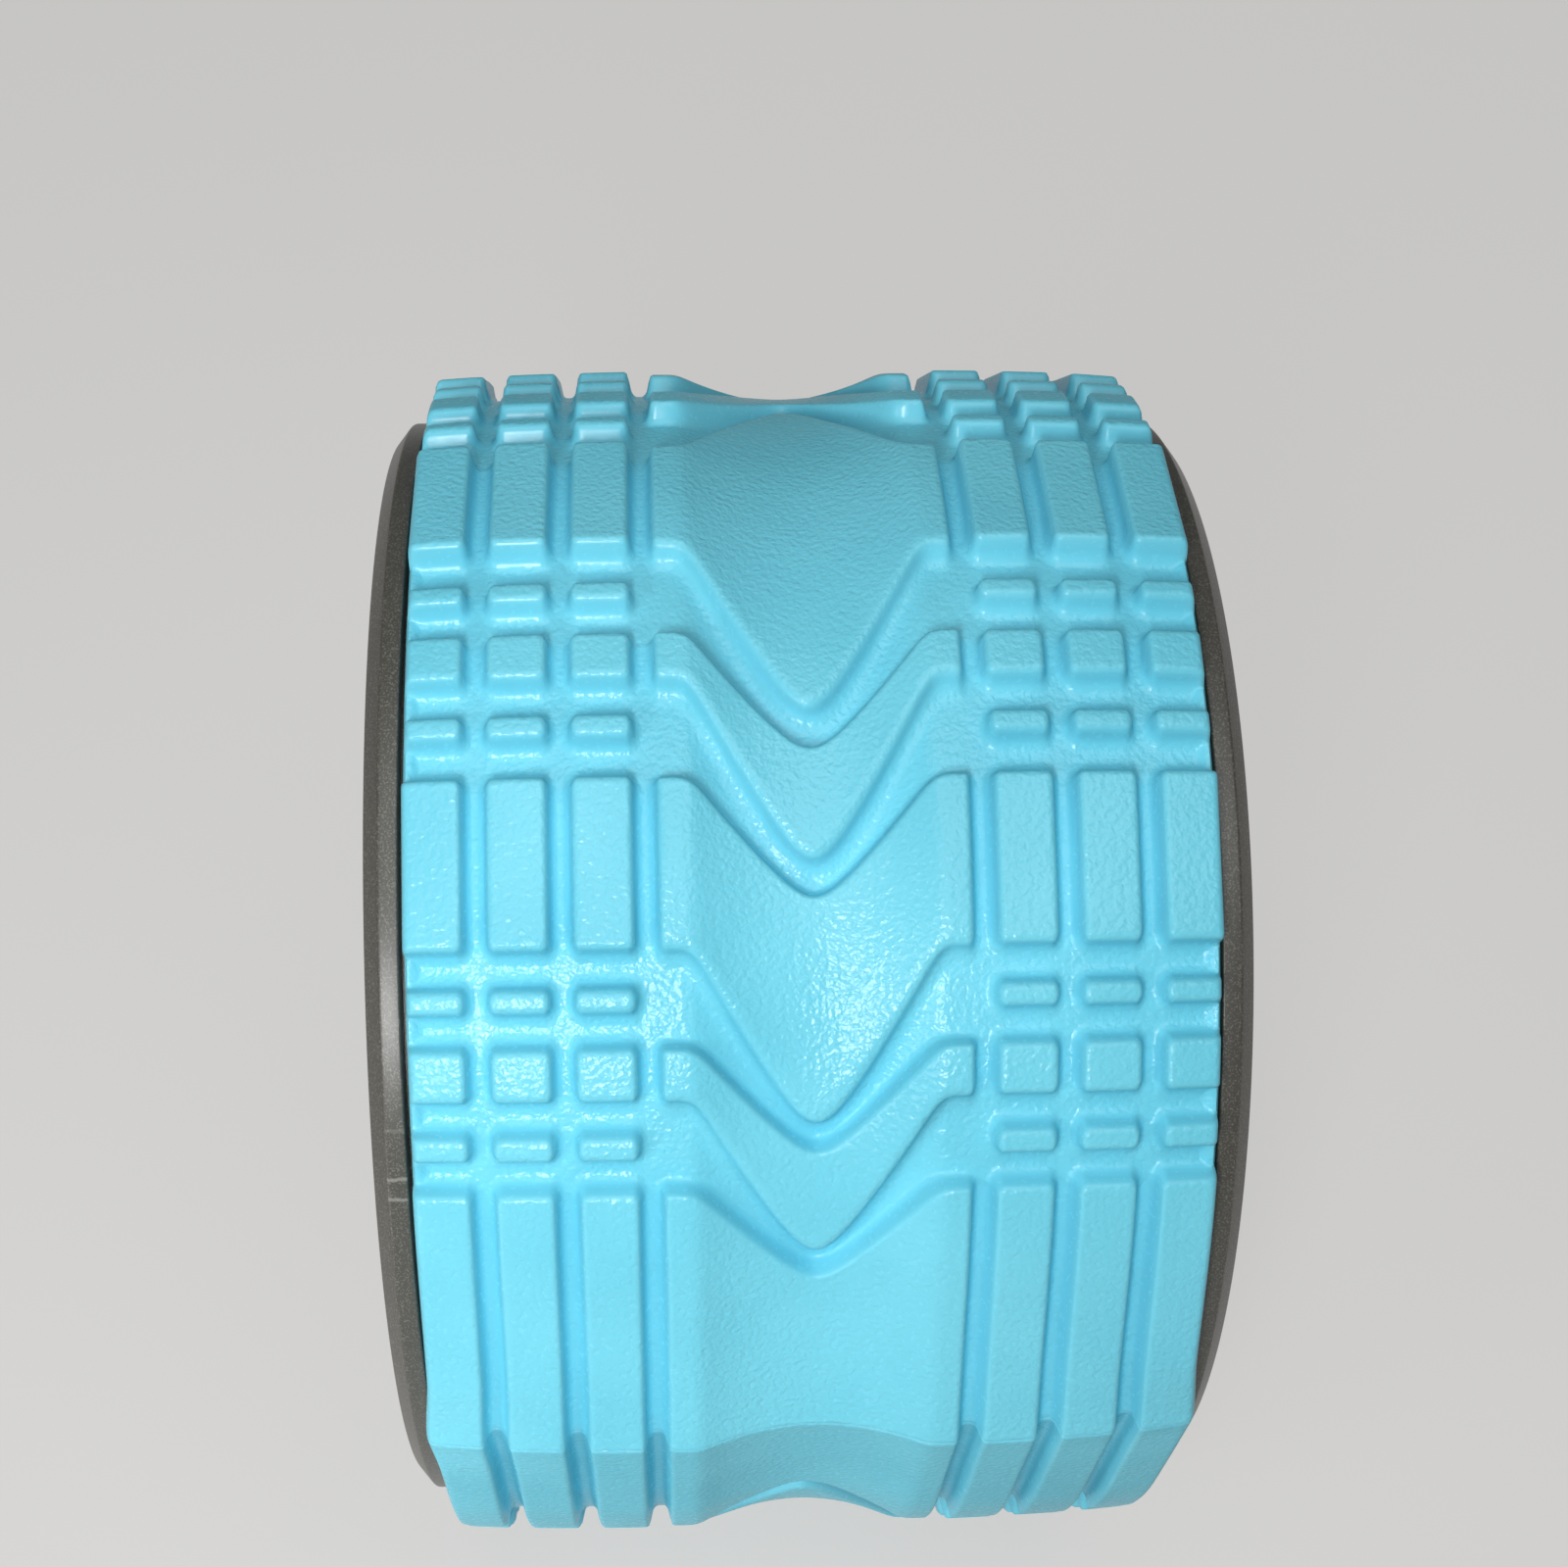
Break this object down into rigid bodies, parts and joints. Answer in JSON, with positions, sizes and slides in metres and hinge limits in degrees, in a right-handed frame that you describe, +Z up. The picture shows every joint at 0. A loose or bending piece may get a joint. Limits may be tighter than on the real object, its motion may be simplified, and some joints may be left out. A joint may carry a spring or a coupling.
{
  "type": "yoga wheel",
  "caption": "Small back wheel for yoga: a rigid plastic hoop with rounded rims, wrapped in a moulded foam tread with massage blocks, chevron panels and a dished channel for the spine.",
  "frame": {"origin": "centre of the wheel, on its axis and midway between its two rims", "axes": "+Y along the wheel's axis, towards the right rim; +Z up, through the middle of the upper half tread; +X towards the front seam"},
  "size_m": [0.2142, 0.13, 0.206],
  "materials": {
    "hoop_plastic": "extruded plastic tube, dark grey",
    "rim_plastic": "moulded plastic, dark grey, fine matte texture",
    "glue_film": "contact adhesive film",
    "tread_foam": "closed-cell foam with a moulded skin, turquoise"
  },
  "bodies": {
    "root": {"core_tube": "hoop_plastic", "rim_ring_left": "rim_plastic", "rim_ring_right": "rim_plastic", "adhesive_upper": "glue_film", "adhesive_lower": "glue_film", "tread_upper": "tread_foam", "tread_lower": "tread_foam"}
  },
  "joints": []
}
